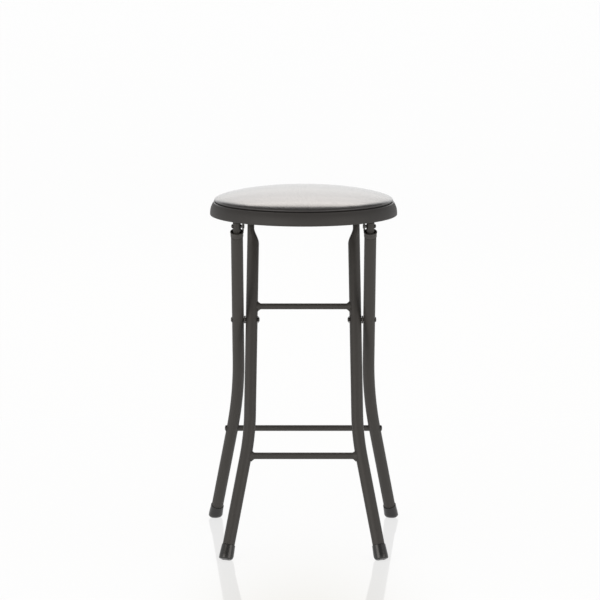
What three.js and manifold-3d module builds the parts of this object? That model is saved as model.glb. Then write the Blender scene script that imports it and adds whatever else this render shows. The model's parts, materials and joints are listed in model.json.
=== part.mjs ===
// Folding bar stool: two pairs of tube legs crossed like scissors under a round padded seat.
// The inner legs hinge on the seat's rear rail. The outer legs carry sliding rods that hinge on its
// front rail, so the seat tips up as the legs close.
// Origin on the floor under the seat's centre, +X to the right, +Y to the rear, +Z up.
import * as THREE from 'three';
import { mergeVertices, toCreasedNormals } from 'three/addons/utils/BufferGeometryUtils.js';
import Module from 'manifold-3d';

const wasm = await Module();
wasm.setup();

// Driving dimensions, in millimetres and degrees
const pivotHeight = 376;
const legTilt = 22.4;
const hingeReach = 181;
const hingeDrop = 11;
const fitGap = 0.3;
const cutOverrun = 2;

// Leg tubes: spacing at the pivot, splay above the bend and flare below it
const tubeRadius = 10;
const tubeWall = 1.2;
const outerLegSpacing = 220;
const outerFlareAngle = 9.8;
const outerBendStart = 80;
const outerBendRadius = 820;
const legGap = 3;
const innerSplayAngle = 0.8;
const innerFlareAngle = 10.5;
const innerBendStart = 161;
const innerBendRadius = 435;

// Pressed tops of the inner legs
const pressedThickness = 11.5;
const pressedLength = 23;
const pressTaper = 26;

// Rubber feet
const footLift = 1;
const footHeight = 25;
const footFloor = 5;
const footLipWall = 0.9;
const footFlare = 0.8;
const footRound = 2.6;

// Crossbars: distances from the pivot along the legs
const upperBarRise = 22.7;
const upperBarRadius = 5;
const upperWeldLength = 5;
const footBarDrop = 232;
const footBarRadius = 5.5;
const footWeldLength = 4;
const weldRise = 2.4;
const rearBarDrop = 219.4;
const rearBarRadius = 5;
const rearBarWall = 1.3;
const barScrewRadius = 3;
const barScrewBite = 12;
const barScrewHead = 5;
const barScrewHeadHeight = 3;

// Scissor pivot
const pivotShank = 3;
const pivotHead = 4.6;
const pivotHeadHeight = 1.8;
const pivotTail = 4.3;
const pivotTailHeight = 1.7;
const spacerRadius = 6.5;
const washerRadius = 5.6;
const washerThickness = 1.1;

// Sliding rods and the collars in the outer legs
const neckLength = 9.7;
const collarHeight = 10.5;
const collarProud = 0.6;
const collarLip = 1.1;
const funnelDepth = 4;
const sleeveWall = 1.6;
const sleeveLength = 8;
const rodWall = 1.6;
const rodFoot = 5;
const rodCrown = 11;
const rodDome = 4.5;
const rodPlug = 22;
const guideLength = 10;

// Seat hinges
const hingeShank = 2.8;
const hingeHead = 3.6;
const hingeHeadHeight = 2.4;
const hingeTail = 4.2;
const hingeTailHeight = 1.8;
const frontTailHeight = 1;
const hingeWasherRadius = 6.5;
const frontEarGap = 2.4;
const rearEarGap = 1.8;

// Rails under the seat
const railThickness = 2.5;
const railWidth = 30;
const railBend = 5;
const earRadius = 8;
const screwSpread = 58;
const screwShank = 2.1;
const screwHead = 4.2;
const screwHeadHeight = 2.4;
const screwBite = 6;

// Seat pan and board
const panRadius = 156;
const panHeight = 22;
const panWall = 2.4;
const skirtRound = 31;
const skirtStraight = 3;
const rimWidth = 2.6;
const rimRound = 0.7;
const dishDepth = 7;
const dishDraft = 2.5;
const boardThickness = 9;

// Cushion
const coverThickness = 1.4;
const seamGap = 1.5;
const bulge = 1.9;
const equatorRise = 3.5;
const crownRise = 19.7;
const crownPower = 1.36;

// Facets
const tubeSides = 20;
const barSides = 16;
const pinSides = 12;
const panSides = 48;
const bendSteps = 6;
const pressSteps = 4;
const arcSteps = 4;
const headSteps = 3;
const weldSteps = 3;
const bulgeSteps = 2;
const crownRings = 8;
const creaseAngle = THREE.MathUtils.degToRad(35);

// Finishes
const frameSteel = new THREE.MeshStandardMaterial({ color: 0x474440, roughness: 0.5, metalness: 0.2 });
const hardware = new THREE.MeshStandardMaterial({ color: 0x3b3937, roughness: 0.4, metalness: 0.5 });
const collarPlastic = new THREE.MeshStandardMaterial({ color: 0x2e2c2a, roughness: 0.6, metalness: 0 });
const panPlastic = new THREE.MeshStandardMaterial({ color: 0x454342, roughness: 0.55, metalness: 0 });
const rubber = new THREE.MeshStandardMaterial({ color: 0x2a2928, roughness: 0.35, metalness: 0 });
const plywood = new THREE.MeshStandardMaterial({ color: 0xb08d62, roughness: 0.8, metalness: 0 });
const foam = new THREE.MeshStandardMaterial({ color: 0xe6d9a8, roughness: 1, metalness: 0 });
const vinyl = new THREE.MeshStandardMaterial({ color: 0x403e3c, roughness: 0.35, metalness: 0 });

// Sizes that follow from the ones above
const tilt = THREE.MathUtils.degToRad(legTilt);
const boreRadius = tubeRadius - tubeWall;
const rodRadius = boreRadius - sleeveWall - 2 * fitGap;
const mouthReach = hingeReach - neckLength;
const outerTubeReach = mouthReach - collarHeight - fitGap;
const pressedFlat = (Math.PI / 2) * (tubeRadius - pressedThickness / 2);
const pressedRound = pressedThickness / 2 + pressedFlat;

const outerLegs = makeLeg(outerLegSpacing / 2, 0, outerFlareAngle, outerBendStart, outerBendRadius);
const innerHalfSpacing = outerLegSpacing / 2 - 2 * tubeRadius - legGap;
const innerLegs = makeLeg(innerHalfSpacing, innerSplayAngle, innerFlareAngle,
  innerBendStart, innerBendRadius);

const hingeY = hingeReach * Math.sin(tilt);
const panBottom = pivotHeight + hingeReach * Math.cos(tilt) + hingeDrop;
const skirtCentre = panRadius - skirtRound;
const skirtTop = panHeight - rimRound;
const rimRadius = skirtCentre + Math.sqrt(skirtRound ** 2 - (skirtTop - skirtStraight) ** 2);
const dishRimRadius = rimRadius - rimWidth;
const dishFloorRadius = dishRimRadius - dishDraft;
const dishFloor = panHeight - dishDepth;
const panFloorUnder = dishFloor - panWall;
const boardBottom = dishFloor + fitGap;
const boardTop = boardBottom + boardThickness;
const boardRadius = dishFloorRadius - coverThickness - 2 * fitGap;
const railTop = panFloorUnder - fitGap;
const railUnder = railTop - railThickness;

const hingeLeg = legAt(innerLegs, -hingeReach);
const pressedOuterFace = hingeLeg.across + tubeRadius;
const pressedInnerFace = pressedOuterFace - pressedThickness;
const rearEarFace = pressedInnerFace - rearEarGap;
const frontEarFace = outerLegs.halfSpacing - rodRadius - frontEarGap;

const stool = new THREE.Group();
const innerFrame = new THREE.Group();
innerFrame.position.z = pivotHeight;
innerFrame.rotation.x = -tilt;
const outerFrame = new THREE.Group();
outerFrame.position.z = pivotHeight;
outerFrame.rotation.x = tilt;
const seat = new THREE.Group();
seat.position.z = panBottom;
stool.add(innerFrame, outerFrame, seat);

// Solids and booleans

// A closed three.js geometry as a solid with its faces turned outward
function solidOf(geometry) {
  const plain = geometry.clone();
  plain.deleteAttribute('normal');
  plain.deleteAttribute('uv');
  const merged = mergeVertices(plain);
  const places = merged.attributes.position.array;
  const corners = merged.index.array;
  const faces = [];
  for (let i = 0; i < corners.length; i += 3) {
    const [a, b, c] = corners.slice(i, i + 3);
    if (a !== b && b !== c && c !== a) {
      faces.push(a, b, c);
    }
  }
  if (signedVolume(places, faces) < 0) {
    faces.reverse();
  }
  const mesh = new wasm.Mesh({
    numProp: 3,
    vertProperties: new Float32Array(places),
    triVerts: new Uint32Array(faces),
  });
  return new wasm.Manifold(mesh);
}

function signedVolume(places, faces) {
  const [a, b, c] = [new THREE.Vector3(), new THREE.Vector3(), new THREE.Vector3()];
  let volume = 0;
  for (let i = 0; i < faces.length; i += 3) {
    a.fromArray(places, 3 * faces[i]);
    b.fromArray(places, 3 * faces[i + 1]);
    c.fromArray(places, 3 * faces[i + 2]);
    volume += a.dot(b.cross(c)) / 6;
  }
  return volume;
}

function cut(body, ...tools) {
  return tools.reduce((left, tool) => left.subtract(tool), body);
}

function addPiece(parent, name, solid, material) {
  const mesh = solid.getMesh();
  const geometry = new THREE.BufferGeometry();
  geometry.setAttribute('position', new THREE.BufferAttribute(mesh.vertProperties, mesh.numProp));
  geometry.setIndex(new THREE.BufferAttribute(mesh.triVerts, 1));
  const piece = new THREE.Mesh(toCreasedNormals(geometry, creaseAngle), material);
  piece.name = name;
  parent.add(piece);
  return piece;
}

// The same solid on the left or the right of the stool: side is -1 or 1
function onSide(geometry, side) {
  return solidOf(geometry.clone().scale(side, 1, 1));
}

function forEachSide(build) {
  build('left', -1);
  build('right', 1);
}

// Profiles: pairs of radius and height, turned about an upright axis or about an axis along X

function lathe(points, sides) {
  return new THREE.LatheGeometry(points.map(([r, h]) => new THREE.Vector2(r, h)), sides);
}

function turnedUp(points, sides) {
  return lathe(points, sides).rotateX(Math.PI / 2);
}

function turnedAcross(points, sides) {
  return lathe(points, sides).rotateZ(-Math.PI / 2);
}

// Points on an ellipse arc, angles in degrees from the outward direction
function arc(centreR, centreH, radiusR, radiusH, start, end, steps = arcSteps) {
  const points = [];
  for (let i = 0; i <= steps; i++) {
    const angle = THREE.MathUtils.degToRad(start + ((end - start) * i) / steps);
    points.push([centreR + radiusR * Math.cos(angle), centreH + radiusH * Math.sin(angle)]);
  }
  return points;
}

function ring(inner, outer, from, to) {
  return [[outer, from], [outer, to], [inner, to], [inner, from], [outer, from]];
}

function acrossCylinder(radius, from, to, height, sides = pinSides) {
  const geometry = new THREE.CylinderGeometry(radius, radius, to - from, sides);
  return geometry.rotateZ(Math.PI / 2).translate((from + to) / 2, 0, height);
}

function uprightCylinder(radius, x, y, from, to, sides = pinSides) {
  const geometry = new THREE.CylinderGeometry(radius, radius, to - from, sides);
  return geometry.rotateX(Math.PI / 2).translate(x, y, (from + to) / 2);
}

// A rivet or pin along X: shank between two faces, domed head past the second, tail before the first
function rivet(shank, from, to, head, headHeight, tail, tailHeight) {
  const tailPoints = tail ? arc(0, from, tail, tailHeight, -90, 0, headSteps) : [[0, from]];
  return [...tailPoints, [shank, from], [shank, to], ...arc(0, to, head, headHeight, 0, 90, headSteps)];
}

// Legs

// A leg's centre line lies in its frame's plane: straight, then an arc, then straight again
function makeLeg(halfSpacing, splayDegrees, flareDegrees, bendStart, bendRadius) {
  const splay = THREE.MathUtils.degToRad(splayDegrees);
  const flare = THREE.MathUtils.degToRad(flareDegrees);
  const bendLength = bendRadius * (Math.sin(flare) - Math.sin(splay));
  return { halfSpacing, splay, flare, bendStart, bendRadius, bendLength };
}

// Sideways place and lean of a leg's centre line at a drop below the pivot
function legAt(leg, drop) {
  const straight = Math.min(drop, leg.bendStart);
  const bent = THREE.MathUtils.clamp(drop - leg.bendStart, 0, leg.bendLength);
  const flared = Math.max(drop - leg.bendStart - leg.bendLength, 0);
  const lean = Math.asin(Math.sin(leg.splay) + bent / leg.bendRadius);
  const bendShift = leg.bendRadius * (Math.cos(leg.splay) - Math.cos(lean));
  const splayShift = straight * Math.tan(leg.splay);
  const flareShift = flared * Math.tan(leg.flare);
  return { across: leg.halfSpacing + splayShift + bendShift + flareShift, lean };
}

// Drop of a foot's end face, whose centre hangs footLift above the floor
function footDrop() {
  return (pivotHeight - footLift) / Math.cos(tilt);
}

function bendStations(leg) {
  const stations = [];
  for (let i = 0; i <= bendSteps; i++) {
    stations.push(leg.bendStart + (leg.bendLength * i) / bendSteps);
  }
  return stations;
}

// A tube with rings at the given drops, bent along the leg's centre line
function legTube(leg, drops, press) {
  const footEnd = footDrop() - (footFloor + fitGap) * Math.cos(leg.flare);
  const stations = [...drops, ...bendStations(leg), footEnd];
  const outside = stations.map((drop) => [tubeRadius, -drop]);
  const inside = stations.map((drop) => [boreRadius, -drop]).reverse();
  const geometry = turnedUp([...outside, ...inside, outside[0]], tubeSides);
  const places = geometry.attributes.position;
  const place = new THREE.Vector3();
  for (let i = 0; i < places.count; i++) {
    place.fromBufferAttribute(places, i);
    if (press) {
      press(place);
    }
    const { across, lean } = legAt(leg, -place.z);
    const outward = place.x;
    place.x = across + outward * Math.cos(lean);
    place.z += outward * Math.sin(lean);
    places.setXYZ(i, place.x, place.y, place.z);
  }
  return geometry;
}

// Presses the round tube to a flat oval of the same girth, flush on its outer side, and rounds its end
function pressTop(place) {
  const fullReach = hingeReach - pressedLength;
  const amount = THREE.MathUtils.smoothstep(place.z, fullReach - pressTaper, fullReach);
  const radius = Math.hypot(place.x, place.y);
  const firstStep = radius * Math.sin((2 * Math.PI) / tubeSides);
  const half = THREE.MathUtils.clamp(place.y / firstStep, -1, 1);
  const squeeze = (tubeRadius - pressedThickness / 2) * amount;
  const shrink = (radius - squeeze) / radius;
  place.x = place.x * shrink + squeeze;
  place.y = place.y * shrink + half * pressedFlat * amount;
  if (place.z > hingeReach) {
    place.z = hingeReach + Math.sqrt(Math.max(pressedRound ** 2 - place.y ** 2, 0));
  }
}

function pressedStations() {
  const fullReach = hingeReach - pressedLength;
  const stations = [-hingeReach - pressedRound, -fullReach];
  for (let i = 1; i <= pressSteps; i++) {
    stations.push((pressTaper * i) / pressSteps - fullReach);
  }
  return stations;
}

// The space that a leg fills near a height, with clearance, for coping what butts against it
function legEnvelope(leg, height) {
  const { across, lean } = legAt(leg, -height);
  const radius = tubeRadius + fitGap;
  const geometry = new THREE.CylinderGeometry(radius, radius, 6 * tubeRadius, 2 * tubeSides);
  return geometry.rotateX(Math.PI / 2).rotateY(-lean).translate(across, 0, height);
}

function legHole(leg, radius, height) {
  const { across } = legAt(leg, -height);
  return acrossCylinder(radius + fitGap, across - 2 * tubeRadius, across + 2 * tubeRadius, height);
}

function addInnerLegs() {
  const tube = legTube(innerLegs, pressedStations(), pressTop);
  forEachSide((word, side) => {
    const holes = [onSide(legHole(innerLegs, pivotShank, 0), side),
      onSide(legHole(innerLegs, hingeShank, hingeReach), side)];
    addPiece(innerFrame, `inner_leg_${word}`, cut(onSide(tube, side), ...holes), frameSteel);
  });
}

function addOuterLegs() {
  const tube = legTube(outerLegs, [-outerTubeReach]);
  forEachSide((word, side) => {
    const holes = [onSide(legHole(outerLegs, pivotShank, 0), side),
      onSide(legHole(outerLegs, barScrewRadius, -rearBarDrop), side)];
    addPiece(outerFrame, `outer_leg_${word}`, cut(onSide(tube, side), ...holes), frameSteel);
  });
}

// Feet

function footProfile() {
  const lip = tubeRadius + fitGap + footLipWall;
  const base = lip + footFlare;
  return [
    [0, 0], ...arc(base - footRound, footRound, footRound, footRound, -90, 0, headSteps),
    [base, footHeight / 3], [lip, footHeight - footLipWall], [lip - footLipWall / 2, footHeight],
    [tubeRadius + fitGap, footHeight], [tubeRadius + fitGap, footFloor], [0, footFloor],
  ];
}

// A block under the floor, in the frame's own coordinates, that levels the foot's underside
function floorBlock(frame, across, depth) {
  const size = 3 * footHeight;
  frame.updateWorldMatrix(true, false);
  const geometry = new THREE.BoxGeometry(size, size, size).translate(across, depth, -size / 2);
  return geometry.applyMatrix4(frame.matrixWorld.clone().invert());
}

function addFeet(frame, leg, place) {
  const drop = footDrop();
  const { across, lean } = legAt(leg, drop);
  const foot = turnedUp(footProfile(), tubeSides).rotateY(-lean).translate(across, 0, -drop);
  const depth = pivotHeight * Math.tan(frame.rotation.x);
  forEachSide((word, side) => {
    const floor = solidOf(floorBlock(frame, side * across, depth));
    addPiece(frame, `${place}_foot_${word}`, cut(onSide(foot, side), floor), rubber);
  });
}

// Crossbars

// The hollow curve of a fillet of weld, from the bar's own radius to its root on the leg
function weld(radius, from, root) {
  const points = [];
  for (let i = 0; i <= weldSteps; i++) {
    const share = i / weldSteps;
    points.push([radius + weldRise * share ** 2, from + (root - from) * share]);
  }
  return points;
}

// A bar between two legs, coped to them, with a weld fillet at each end unless weldLength is zero
function crossbar(leg, height, radius, bore, weldLength) {
  const { across } = legAt(leg, -height);
  const root = across - tubeRadius;
  const half = weldLength > 0 ? weld(radius, root - weldLength, root) : [];
  half.push([weldLength > 0 ? radius + weldRise : radius, across]);
  const outside = [...half.map(([r, x]) => [r, -x]).reverse(), ...half];
  const profile = [[bore, -across], ...outside, [bore, across]];
  if (bore > 0) {
    profile.push(profile[0]);
  }
  const bar = solidOf(turnedAcross(profile, barSides).translate(0, 0, height));
  const envelope = legEnvelope(leg, height);
  return cut(bar, onSide(envelope, -1), onSide(envelope, 1));
}

function addCrossbars() {
  const upper = crossbar(innerLegs, upperBarRise, upperBarRadius, 0, upperWeldLength);
  addPiece(innerFrame, 'upper_crossbar', upper, frameSteel);
  const lower = crossbar(innerLegs, -footBarDrop, footBarRadius, 0, footWeldLength);
  addPiece(innerFrame, 'footrest_bar', lower, frameSteel);
  const rear = crossbar(outerLegs, -rearBarDrop, rearBarRadius, rearBarRadius - rearBarWall, 0);
  addPiece(outerFrame, 'rear_crossbar', rear, frameSteel);
}

// The screw that holds the rear crossbar: its head is coped to the round leg
function addCrossbarScrews() {
  const { across } = legAt(outerLegs, rearBarDrop);
  const crest = across + tubeRadius;
  const brim = crest + barScrewHeadHeight / 3;
  const dome = arc(0, brim, barScrewHead, crest + barScrewHeadHeight - brim, 0, 90);
  const head = [[0, across], [barScrewHead, across], ...dome];
  const headGeometry = turnedAcross(head, barSides).translate(0, 0, -rearBarDrop);
  const shankEnd = across - tubeRadius - barScrewBite;
  const shank = acrossCylinder(barScrewRadius, shankEnd, brim, -rearBarDrop);
  const envelope = legEnvelope(outerLegs, -rearBarDrop);
  forEachSide((word, side) => {
    const coped = cut(onSide(headGeometry, side), onSide(envelope, side));
    addPiece(outerFrame, `crossbar_screw_${word}`, coped.add(onSide(shank, side)), hardware);
  });
}

// Scissor pivot

function addPivots() {
  const innerFace = innerLegs.halfSpacing - tubeRadius - fitGap;
  const outerFace = outerLegs.halfSpacing + tubeRadius + fitGap;
  const washerFace = innerFace - washerThickness;
  const hole = pivotShank + fitGap;
  const shape = rivet(pivotShank, washerFace - fitGap, outerFace,
    pivotHead, pivotHeadHeight, pivotTail, pivotTailHeight);
  const spacerFrom = innerLegs.halfSpacing + tubeRadius + fitGap;
  const spacerTo = outerLegs.halfSpacing - tubeRadius - fitGap;
  const washer = turnedAcross(ring(hole, washerRadius, washerFace, innerFace), barSides);
  const spacer = turnedAcross(ring(hole, spacerRadius, spacerFrom, spacerTo), barSides);
  forEachSide((word, side) => {
    addPiece(innerFrame, `pivot_rivet_${word}`, onSide(turnedAcross(shape, pinSides), side), hardware);
    addPiece(innerFrame, `pivot_spacer_${word}`, onSide(spacer, side), collarPlastic);
    addPiece(innerFrame, `pivot_washer_${word}`, onSide(washer, side), hardware);
  });
}

// Rear seat hinges, on the inner legs' pressed tops

function addRearHinges() {
  const earInside = rearEarFace - railThickness - fitGap;
  const shape = rivet(hingeShank, earInside, pressedOuterFace + fitGap,
    hingeHead, hingeHeadHeight, hingeTail, hingeTailHeight);
  const rivetGeometry = turnedAcross(shape, pinSides).translate(0, 0, hingeReach);
  const washerShape = ring(hingeShank + fitGap, hingeWasherRadius,
    rearEarFace + fitGap, pressedInnerFace - fitGap);
  const washer = turnedAcross(washerShape, barSides).translate(0, 0, hingeReach);
  forEachSide((word, side) => {
    addPiece(innerFrame, `rear_hinge_rivet_${word}`, onSide(rivetGeometry, side), hardware);
    addPiece(innerFrame, `rear_hinge_washer_${word}`, onSide(washer, side), collarPlastic);
  });
}

// Sliding rods, with heights measured from the front hinge pin

function collarProfile() {
  const outside = tubeRadius + collarProud;
  const sleeve = boreRadius - fitGap;
  const bore = rodRadius + fitGap;
  const top = mouthReach;
  const seatFace = mouthReach - collarHeight;
  const sleeveEnd = outerTubeReach - sleeveLength;
  return [
    [bore, sleeveEnd], [sleeve, sleeveEnd], [sleeve, seatFace], [outside, seatFace],
    [outside, top - collarLip], [outside - collarLip / 2, top], [outside - collarLip, top],
    [bore, top - funnelDepth], [bore, sleeveEnd],
  ];
}

function addRods() {
  const bottom = rodFoot - hingeReach;
  const bore = rodRadius - rodWall;
  const profile = [[0, -rodPlug], [bore, -rodPlug], [bore, bottom], [rodRadius, bottom],
    ...arc(0, rodCrown - rodDome, rodRadius, rodDome, 0, 90)];
  const rod = turnedUp(profile, tubeSides);
  const pinHole = acrossCylinder(hingeShank + fitGap, -2 * rodRadius, 2 * rodRadius, 0);
  const guideShape = ring(rodRadius + fitGap, boreRadius - fitGap, bottom, bottom + guideLength);
  const guide = turnedUp(guideShape, tubeSides);
  const pinFrom = frontEarFace + fitGap - outerLegs.halfSpacing;
  const pinShape = rivet(hingeShank, pinFrom, rodRadius + fitGap, hingeHead, hingeHeadHeight);
  const pin = turnedAcross(pinShape, pinSides);
  const collar = turnedUp(collarProfile(), tubeSides);
  forEachSide((word, side) => {
    const slide = new THREE.Group();
    slide.position.set(side * outerLegs.halfSpacing, 0, hingeReach);
    outerFrame.add(slide);
    addPiece(slide, `slide_rod_${word}`, cut(solidOf(rod), solidOf(pinHole)), frameSteel);
    addPiece(slide, `rod_guide_${word}`, solidOf(guide), collarPlastic);
    addPiece(slide, `front_hinge_pin_${word}`, onSide(pin, side), hardware);
    const piece = addPiece(outerFrame, `rod_collar_${word}`, solidOf(collar), collarPlastic);
    piece.position.x = side * outerLegs.halfSpacing;
  });
}

// Rails: a bent strip across the seat, cut to the ears' outline, with heights from the pan's bottom edge

function stripOutline(earFace) {
  const bottom = -hingeDrop - 2 * earRadius;
  const centre = railTop - railBend;
  const inner = railBend - railThickness;
  const shape = new THREE.Shape();
  shape.moveTo(earFace, bottom);
  shape.absarc(earFace - railBend, centre, railBend, 0, Math.PI / 2);
  shape.absarc(railBend - earFace, centre, railBend, Math.PI / 2, Math.PI);
  shape.lineTo(-earFace, bottom);
  shape.lineTo(railThickness - earFace, bottom);
  shape.absarc(railBend - earFace, centre, inner, Math.PI, Math.PI / 2, true);
  shape.absarc(earFace - railBend, centre, inner, Math.PI / 2, 0, true);
  shape.lineTo(earFace - railThickness, bottom);
  return shape;
}

function earOutline() {
  const half = railWidth / 2;
  const shape = new THREE.Shape();
  shape.moveTo(-half, railTop + cutOverrun);
  shape.lineTo(-half, railUnder - railBend);
  shape.absarc(0, -hingeDrop, earRadius, Math.PI, 2 * Math.PI);
  shape.lineTo(half, railUnder - railBend);
  shape.lineTo(half, railTop + cutOverrun);
  return shape;
}

function rail(earFace) {
  const strip = new THREE.ExtrudeGeometry(stripOutline(earFace),
    { depth: railWidth, bevelEnabled: false, curveSegments: arcSteps });
  strip.rotateX(Math.PI / 2).translate(0, railWidth / 2, 0);
  const span = 2 * earFace + 2 * cutOverrun;
  const ears = new THREE.ExtrudeGeometry(earOutline(),
    { depth: span, bevelEnabled: false, curveSegments: 2 * arcSteps });
  ears.rotateX(Math.PI / 2).rotateZ(Math.PI / 2).translate(-span / 2, 0, 0);
  const pinHole = acrossCylinder(hingeShank + fitGap, -span / 2, span / 2, -hingeDrop);
  const body = cut(solidOf(strip).intersect(solidOf(ears)), solidOf(pinHole));
  return cut(body, ...screwPlaces().map((x) => screwHole(x, 0, railTop + cutOverrun)));
}

function screwPlaces() {
  return [-screwSpread, 0, screwSpread];
}

function seatScrewPlaces() {
  return [-hingeY, hingeY].flatMap((y) => screwPlaces().map((x) => [x, y]));
}

function screwHole(x, y, top) {
  return solidOf(uprightCylinder(screwShank + fitGap, x, y, railUnder - cutOverrun, top));
}

function seatScrewHoles(top) {
  return seatScrewPlaces().map(([x, y]) => screwHole(x, y, top));
}

function addRails() {
  addPiece(seat, 'front_rail', rail(frontEarFace), hardware).position.y = -hingeY;
  addPiece(seat, 'rear_rail', rail(rearEarFace), hardware).position.y = hingeY;
  const tailEnd = frontEarFace - railThickness - fitGap;
  const tail = [...arc(0, tailEnd, hingeTail, frontTailHeight, -90, 0, headSteps),
    [hingeShank, tailEnd], [hingeShank, frontEarFace], [0, frontEarFace]];
  const tailGeometry = turnedAcross(tail, pinSides).translate(0, -hingeY, -hingeDrop);
  forEachSide((word, side) => {
    addPiece(seat, `front_pin_tail_${word}`, onSide(tailGeometry, side), hardware);
  });
}

function addSeatScrews() {
  const headTop = railUnder - fitGap;
  const profile = [...arc(0, headTop, screwHead, screwHeadHeight, -90, 0, headSteps),
    [screwShank, headTop], [screwShank, boardBottom + screwBite], [0, boardBottom + screwBite]];
  const screw = solidOf(turnedUp(profile, pinSides));
  seatScrewPlaces().forEach(([x, y], i) => {
    addPiece(seat, `seat_screw_${i + 1}`, screw, hardware).position.set(x, y, 0);
  });
}

// Seat pan: a dish for the cushion inside a deep convex skirt, open below

function skirtArc(radius, top) {
  const angle = THREE.MathUtils.radToDeg(Math.asin((top - skirtStraight) / radius));
  return arc(skirtCentre, skirtStraight, radius, radius, 0, angle);
}

function panProfile() {
  return [
    [0, dishFloor], [dishFloorRadius, dishFloor], [dishRimRadius, panHeight],
    [rimRadius - rimRound, panHeight], ...skirtArc(skirtRound, skirtTop).reverse(),
    [panRadius, 0], [panRadius - panWall, 0], ...skirtArc(skirtRound - panWall, skirtTop - panWall),
    [dishFloorRadius + panWall / 2, panFloorUnder], [0, panFloorUnder],
  ];
}

function addSeatPan() {
  const pan = solidOf(turnedUp(panProfile(), panSides));
  addPiece(seat, 'seat_pan', cut(pan, ...seatScrewHoles(dishFloor + cutOverrun)), panPlastic);
  const board = solidOf(uprightCylinder(boardRadius, 0, 0, boardBottom, boardTop, panSides));
  const pilots = seatScrewHoles(boardBottom + screwBite + fitGap);
  addPiece(seat, 'seat_board', cut(board, ...pilots), plywood);
}

// Cushion

// Outline of the cover from its hem to the middle of the crown, drawn in by an inset.
// The crown is an ellipse's quarter with its height raised to a power, so it keeps rising inward.
function cushionOutline(inset) {
  const seamRadius = dishRimRadius - fitGap - inset;
  const seamHeight = panHeight + seamGap;
  const equator = panHeight + equatorRise;
  const crown = [];
  for (let i = 1; i <= crownRings; i++) {
    const angle = (Math.PI / 2) * (i / crownRings);
    const height = equator + (crownRise - inset) * Math.sin(angle) ** crownPower;
    crown.push([(seamRadius + bulge) * Math.cos(angle), height]);
  }
  crown.at(-1)[0] = 0;
  const underside = arc(seamRadius, equator, bulge, equator - seamHeight, -90, 0, bulgeSteps);
  return {
    hem: [dishFloorRadius - fitGap - inset, boardBottom],
    side: [[seamRadius, panHeight + fitGap], ...underside],
    crown,
  };
}

function addCushion() {
  const outside = cushionOutline(0);
  const inside = cushionOutline(coverThickness);
  const outer = [outside.hem, ...outside.side, ...outside.crown];
  const inner = [inside.hem, ...inside.side, ...inside.crown];
  const cover = turnedUp([...inner.reverse(), ...outer], panSides);
  addPiece(seat, 'cushion_cover', solidOf(cover), vinyl);
  const filling = cushionOutline(coverThickness + fitGap);
  const foamBottom = boardTop + fitGap;
  const side = filling.side.filter(([, height]) => height > foamBottom);
  const block = [[0, foamBottom], [filling.side[0][0], foamBottom], ...side, ...filling.crown];
  addPiece(seat, 'cushion_foam', solidOf(turnedUp(block, panSides)), foam);
}

addInnerLegs();
addOuterLegs();
addFeet(innerFrame, innerLegs, 'front');
addFeet(outerFrame, outerLegs, 'rear');
addCrossbars();
addCrossbarScrews();
addPivots();
addRearHinges();
addRods();
addRails();
addSeatScrews();
addSeatPan();
addCushion();

export default stool;
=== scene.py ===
import json
import math

import bmesh
import bpy
from mathutils import Matrix, Vector, noise


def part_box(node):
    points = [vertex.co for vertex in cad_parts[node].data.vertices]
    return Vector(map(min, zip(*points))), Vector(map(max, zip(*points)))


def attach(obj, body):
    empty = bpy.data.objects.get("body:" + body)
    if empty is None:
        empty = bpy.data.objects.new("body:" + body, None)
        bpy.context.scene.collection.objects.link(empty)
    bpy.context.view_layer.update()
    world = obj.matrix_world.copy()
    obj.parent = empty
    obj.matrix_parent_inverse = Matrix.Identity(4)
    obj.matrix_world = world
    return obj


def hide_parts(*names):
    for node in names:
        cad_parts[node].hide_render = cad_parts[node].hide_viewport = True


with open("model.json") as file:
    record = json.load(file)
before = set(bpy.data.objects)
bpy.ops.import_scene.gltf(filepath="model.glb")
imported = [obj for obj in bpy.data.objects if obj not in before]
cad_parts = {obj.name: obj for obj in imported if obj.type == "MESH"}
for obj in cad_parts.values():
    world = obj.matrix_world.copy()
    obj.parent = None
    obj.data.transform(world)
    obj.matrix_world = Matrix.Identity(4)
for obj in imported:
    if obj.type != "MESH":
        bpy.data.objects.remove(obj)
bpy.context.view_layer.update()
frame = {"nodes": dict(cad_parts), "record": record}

# Folding bar stool: scissor legs of bent tube, a round padded seat in a moulded pan.
# Sizes in the dictionaries are millimetres and degrees. Left is -X and the front is -Y.

mm = 0.001
bodyOf = {}
for body, members in frame["record"]["behaviour"]["bodies"].items():
    for member in members:
        bodyOf[member] = body
sides = {"left": -1, "right": 1}
mergeGap = 0.001 * mm  # points closer than this are one point
sameGap = 0.01         # and places this close, in millimetres, count as the same
ringGap = 0.3          # how far from its ring's plane a point may lie
smoothTurn = math.radians(35)  # faces that meet flatter than this shade as one surface


# Mesh helpers

def enter(mode):
    bpy.ops.object.mode_set(mode=mode)


def startFresh():
    if bpy.context.object and bpy.context.object.mode != "OBJECT":
        enter("OBJECT")
    bpy.ops.object.select_all(action="DESELECT")


def begin(name, add, **settings):
    # a new piece from one of Blender's simple shapes, open in edit mode
    startFresh()
    add(**settings)
    piece = bpy.context.object
    piece.name = name
    enter("EDIT")
    return piece


def shift(x=0, y=0, z=0):
    bpy.ops.transform.translate(value=(x * mm, y * mm, z * mm))


def close():
    # turns every face of the mesh outward and leaves edit mode
    bpy.ops.mesh.select_all(action="SELECT")
    bpy.ops.mesh.normals_make_consistent(inside=False)
    enter("OBJECT")


def choose(piece):
    startFresh()
    piece.select_set(True)
    bpy.context.view_layer.objects.active = piece


def pick(test):
    # selects the vertices of the mesh in edit mode whose place passes the test
    data = bpy.context.object.data
    shape = bmesh.from_edit_mesh(data)
    for vertex in shape.verts:
        vertex.select = test(vertex.co / mm)
    shape.select_mode = {"VERT"}
    shape.select_flush_mode()
    bmesh.update_edit_mesh(data)


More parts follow.
